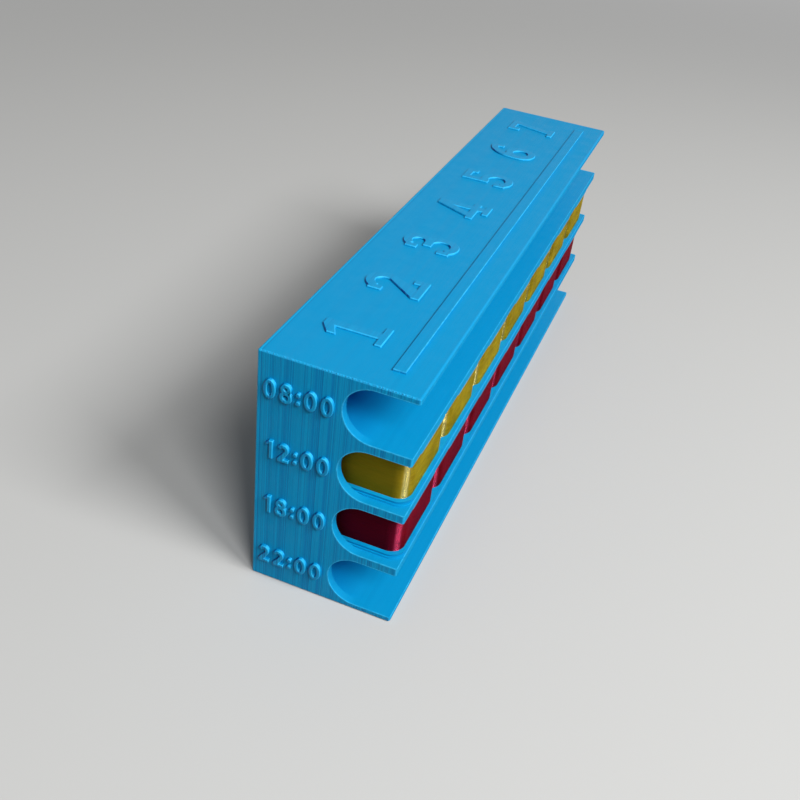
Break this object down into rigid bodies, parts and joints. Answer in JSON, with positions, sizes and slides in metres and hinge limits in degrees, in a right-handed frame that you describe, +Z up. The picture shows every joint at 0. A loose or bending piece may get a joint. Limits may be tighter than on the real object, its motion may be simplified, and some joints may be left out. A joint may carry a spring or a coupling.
{
  "type": "daily pill organizer",
  "caption": "Block-shaped holder with stacked slots open along the front, two of them holding pull-out trays of round-cornered pill cups with sliding lids; finger notches in both ends.",
  "frame": {"origin": "centre of the holder's underside", "axes": "+X along the holder, away from the end that carries the slot numbers; +Y from the open front to the closed back; +Z up"},
  "size_m": [0.198, 0.04, 0.0717],
  "materials": {
    "blue_print": "satin, with layer lines",
    "yellow_print": "silk",
    "red_print": "silk"
  },
  "bodies": {
    "holder": {"holder": "blue_print"},
    "evening_tray": {"evening_foot_plate": "blue_print", "evening_tray": "red_print"},
    "noon_tray": {"noon_foot_plate": "blue_print", "noon_tray": "yellow_print"},
    "evening_lid_1": {"evening_lid_1": "blue_print"},
    "evening_lid_2": {"evening_lid_2": "blue_print"},
    "evening_lid_3": {"evening_lid_3": "blue_print"},
    "evening_lid_4": {"evening_lid_4": "blue_print"},
    "evening_lid_5": {"evening_lid_5": "blue_print"},
    "evening_lid_6": {"evening_lid_6": "blue_print"},
    "evening_lid_7": {"evening_lid_7": "blue_print"},
    "noon_lid_1": {"noon_lid_1": "blue_print"},
    "noon_lid_2": {"noon_lid_2": "blue_print"},
    "noon_lid_3": {"noon_lid_3": "blue_print"},
    "noon_lid_4": {"noon_lid_4": "blue_print"},
    "noon_lid_5": {"noon_lid_5": "blue_print"},
    "noon_lid_6": {"noon_lid_6": "blue_print"},
    "noon_lid_7": {"noon_lid_7": "blue_print"}
  },
  "joints": [
    {"name": "evening_tray_slide", "type": "slide", "parent": "holder", "child": "evening_tray", "axis": [0, -1, 0], "range_m": [0, 0.036]},
    {"name": "noon_tray_slide", "type": "slide", "parent": "holder", "child": "noon_tray", "axis": [0, -1, 0], "range_m": [0, 0.036]},
    {"name": "evening_lid_1_slide", "type": "slide", "parent": "evening_tray", "child": "evening_lid_1", "axis": [0, -1, 0], "range_m": [0, 0.028]},
    {"name": "evening_lid_2_slide", "type": "slide", "parent": "evening_tray", "child": "evening_lid_2", "axis": [0, -1, 0], "range_m": [0, 0.028]},
    {"name": "evening_lid_3_slide", "type": "slide", "parent": "evening_tray", "child": "evening_lid_3", "axis": [0, -1, 0], "range_m": [0, 0.028]},
    {"name": "evening_lid_4_slide", "type": "slide", "parent": "evening_tray", "child": "evening_lid_4", "axis": [0, -1, 0], "range_m": [0, 0.028]},
    {"name": "evening_lid_5_slide", "type": "slide", "parent": "evening_tray", "child": "evening_lid_5", "axis": [0, -1, 0], "range_m": [0, 0.028]},
    {"name": "evening_lid_6_slide", "type": "slide", "parent": "evening_tray", "child": "evening_lid_6", "axis": [0, -1, 0], "range_m": [0, 0.028]},
    {"name": "evening_lid_7_slide", "type": "slide", "parent": "evening_tray", "child": "evening_lid_7", "axis": [0, -1, 0], "range_m": [0, 0.028]},
    {"name": "noon_lid_1_slide", "type": "slide", "parent": "noon_tray", "child": "noon_lid_1", "axis": [0, -1, 0], "range_m": [0, 0.028]},
    {"name": "noon_lid_2_slide", "type": "slide", "parent": "noon_tray", "child": "noon_lid_2", "axis": [0, -1, 0], "range_m": [0, 0.028]},
    {"name": "noon_lid_3_slide", "type": "slide", "parent": "noon_tray", "child": "noon_lid_3", "axis": [0, -1, 0], "range_m": [0, 0.028]},
    {"name": "noon_lid_4_slide", "type": "slide", "parent": "noon_tray", "child": "noon_lid_4", "axis": [0, -1, 0], "range_m": [0, 0.028]},
    {"name": "noon_lid_5_slide", "type": "slide", "parent": "noon_tray", "child": "noon_lid_5", "axis": [0, -1, 0], "range_m": [0, 0.028]},
    {"name": "noon_lid_6_slide", "type": "slide", "parent": "noon_tray", "child": "noon_lid_6", "axis": [0, -1, 0], "range_m": [0, 0.028]},
    {"name": "noon_lid_7_slide", "type": "slide", "parent": "noon_tray", "child": "noon_lid_7", "axis": [0, -1, 0], "range_m": [0, 0.028]}
  ]
}
